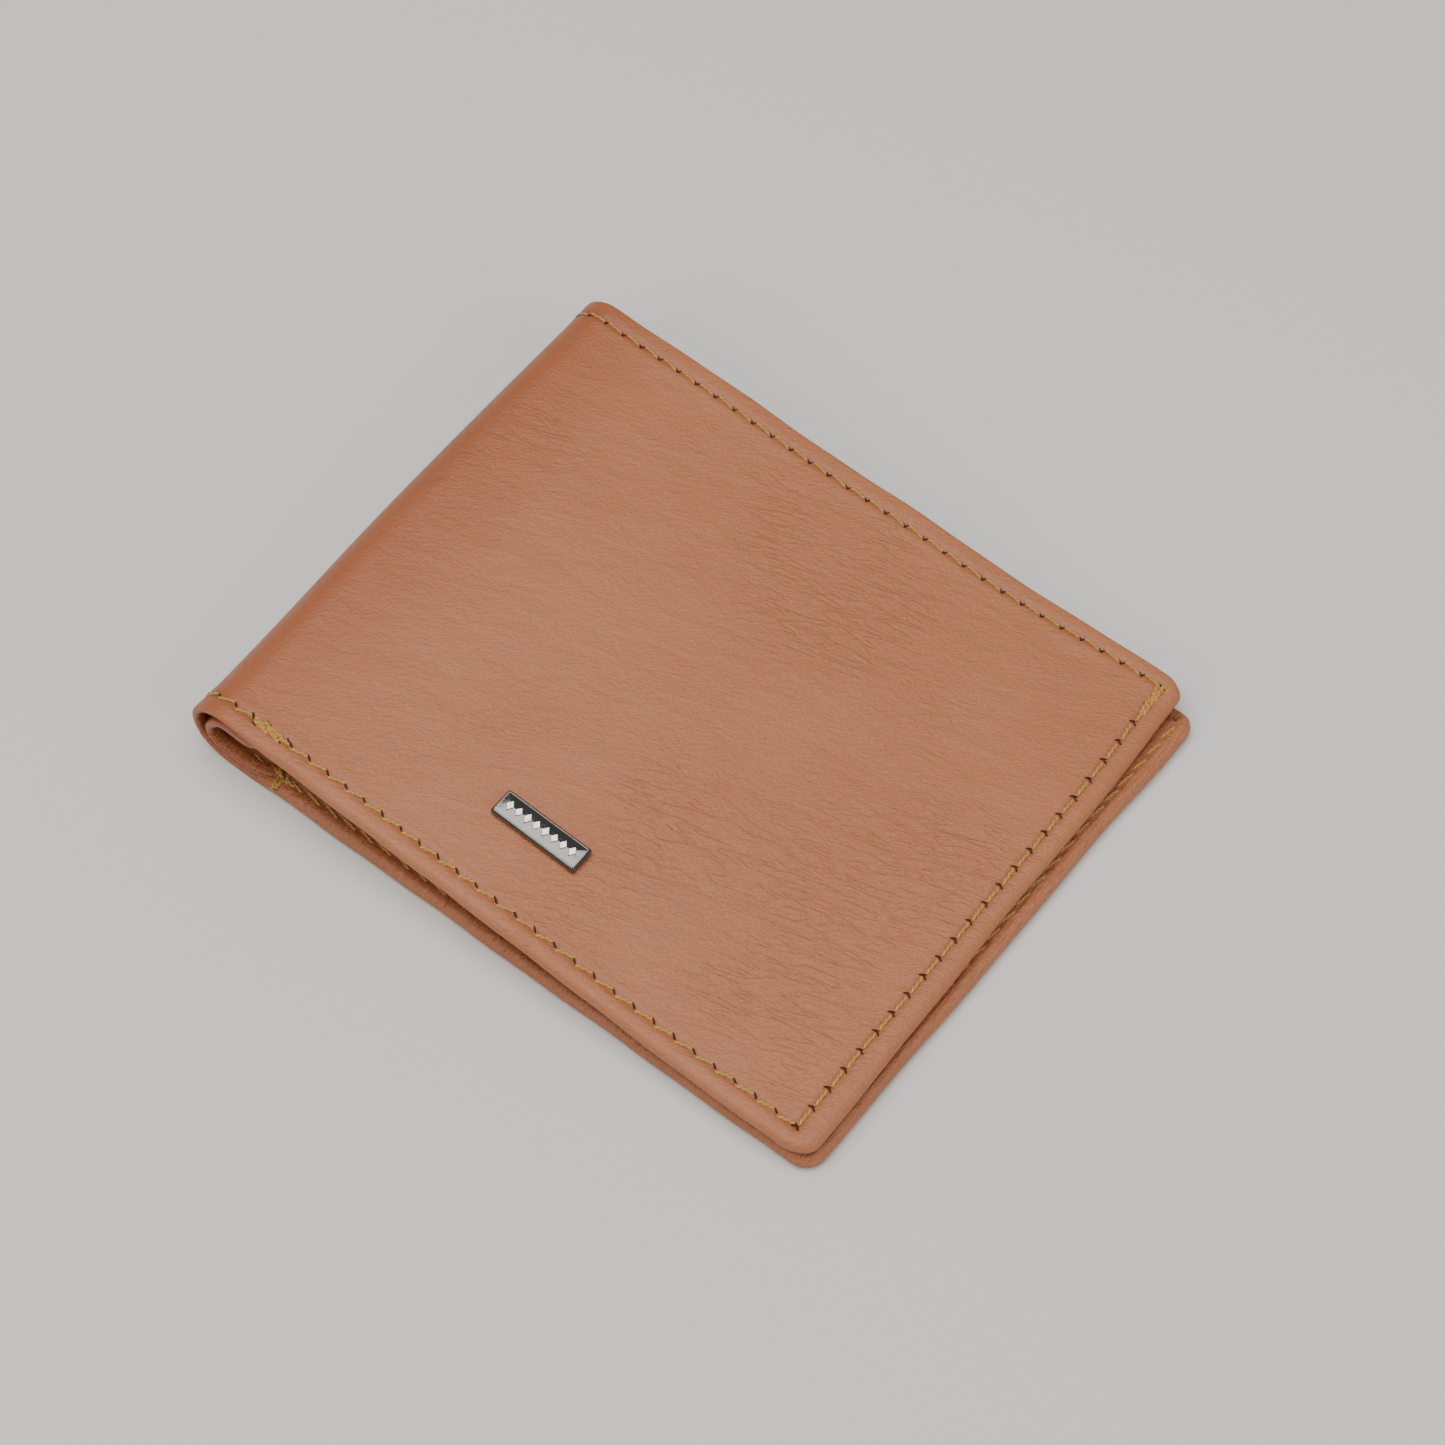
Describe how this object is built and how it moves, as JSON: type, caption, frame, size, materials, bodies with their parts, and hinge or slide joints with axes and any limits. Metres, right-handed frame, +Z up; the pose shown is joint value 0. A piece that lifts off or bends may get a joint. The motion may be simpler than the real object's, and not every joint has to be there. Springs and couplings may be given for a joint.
{
  "type": "bifold wallet",
  "caption": "Folded leather bifold wallet with turned and stitched edges, a note compartment, stepped card pockets in each half and a small metal nameplate on the front cover.",
  "frame": {"origin": "middle of the closed wallet's footprint, on the surface that the back cover lies on", "axes": "+X from the spine to the opening edge, +Y from the bottom edge to the top edge where the note compartment opens, +Z up through the front cover"},
  "size_m": [0.1134, 0.092, 0.0132],
  "materials": {
    "cover_leather": "smooth full-grain tan leather, fine grain, satin",
    "inner_leather": "tan leather, satin",
    "lining_fabric": "brown woven lining",
    "stiffener_board": "bonded leather board",
    "thread": "ochre twisted polyester thread",
    "plate_metal": "black nickel plate, bright bevel",
    "relief_metal": "bright brushed relief",
    "retainer_metal": "plain"
  },
  "bodies": {
    "back": {"back_cover": "cover_leather", "back_stiffener": "stiffener_board", "back_cover_lining": "lining_fabric", "back_inner_wall": "inner_leather", "back_pocket_backing": "lining_fabric", "back_card_pocket_1": "inner_leather", "back_card_pocket_2": "inner_leather", "back_card_pocket_3": "inner_leather", "back_seam_thread": "thread", "back_tack_thread": "thread", "back_hem_thread": "thread"},
    "spine_lower": {"spine_lower_leather": "cover_leather", "spine_lower_lining": "lining_fabric", "spine_lower_inner_wall": "inner_leather", "spine_lower_hem_thread": "thread"},
    "spine_upper": {"spine_upper_leather": "cover_leather", "spine_upper_lining": "lining_fabric", "spine_upper_inner_wall": "inner_leather", "spine_upper_hem_thread": "thread"},
    "front": {"front_cover": "cover_leather", "front_stiffener": "stiffener_board", "front_cover_lining": "lining_fabric", "front_inner_wall": "inner_leather", "front_pocket_backing": "lining_fabric", "front_card_pocket_1": "inner_leather", "front_card_pocket_2": "inner_leather", "front_card_pocket_3": "inner_leather", "front_seam_thread": "thread", "front_tack_thread": "thread", "front_hem_thread": "thread", "nameplate": "plate_metal", "nameplate_relief": "relief_metal", "nameplate_retainer": "retainer_metal"}
  },
  "joints": [
    {"name": "fold_1", "type": "hinge", "parent": "back", "child": "spine_lower", "pos_m": [-0.05347, 0, 0.00093], "axis": [0, -1, 0], "range_deg": [0, 61.43]},
    {"name": "fold_2", "type": "hinge", "parent": "spine_lower", "child": "spine_upper", "pos_m": [-0.0567, 0, 0.00685], "axis": [0, -1, 0], "range_deg": [0, 61.43]},
    {"name": "fold_3", "type": "hinge", "parent": "spine_upper", "child": "front", "pos_m": [-0.05304, 0, 0.01251], "axis": [0, -1, 0], "range_deg": [0, 61.43]}
  ],
  "couplings": [
    {"joint": "fold_2", "follows": "fold_1", "ratio": 1},
    {"joint": "fold_3", "follows": "fold_1", "ratio": 1}
  ]
}
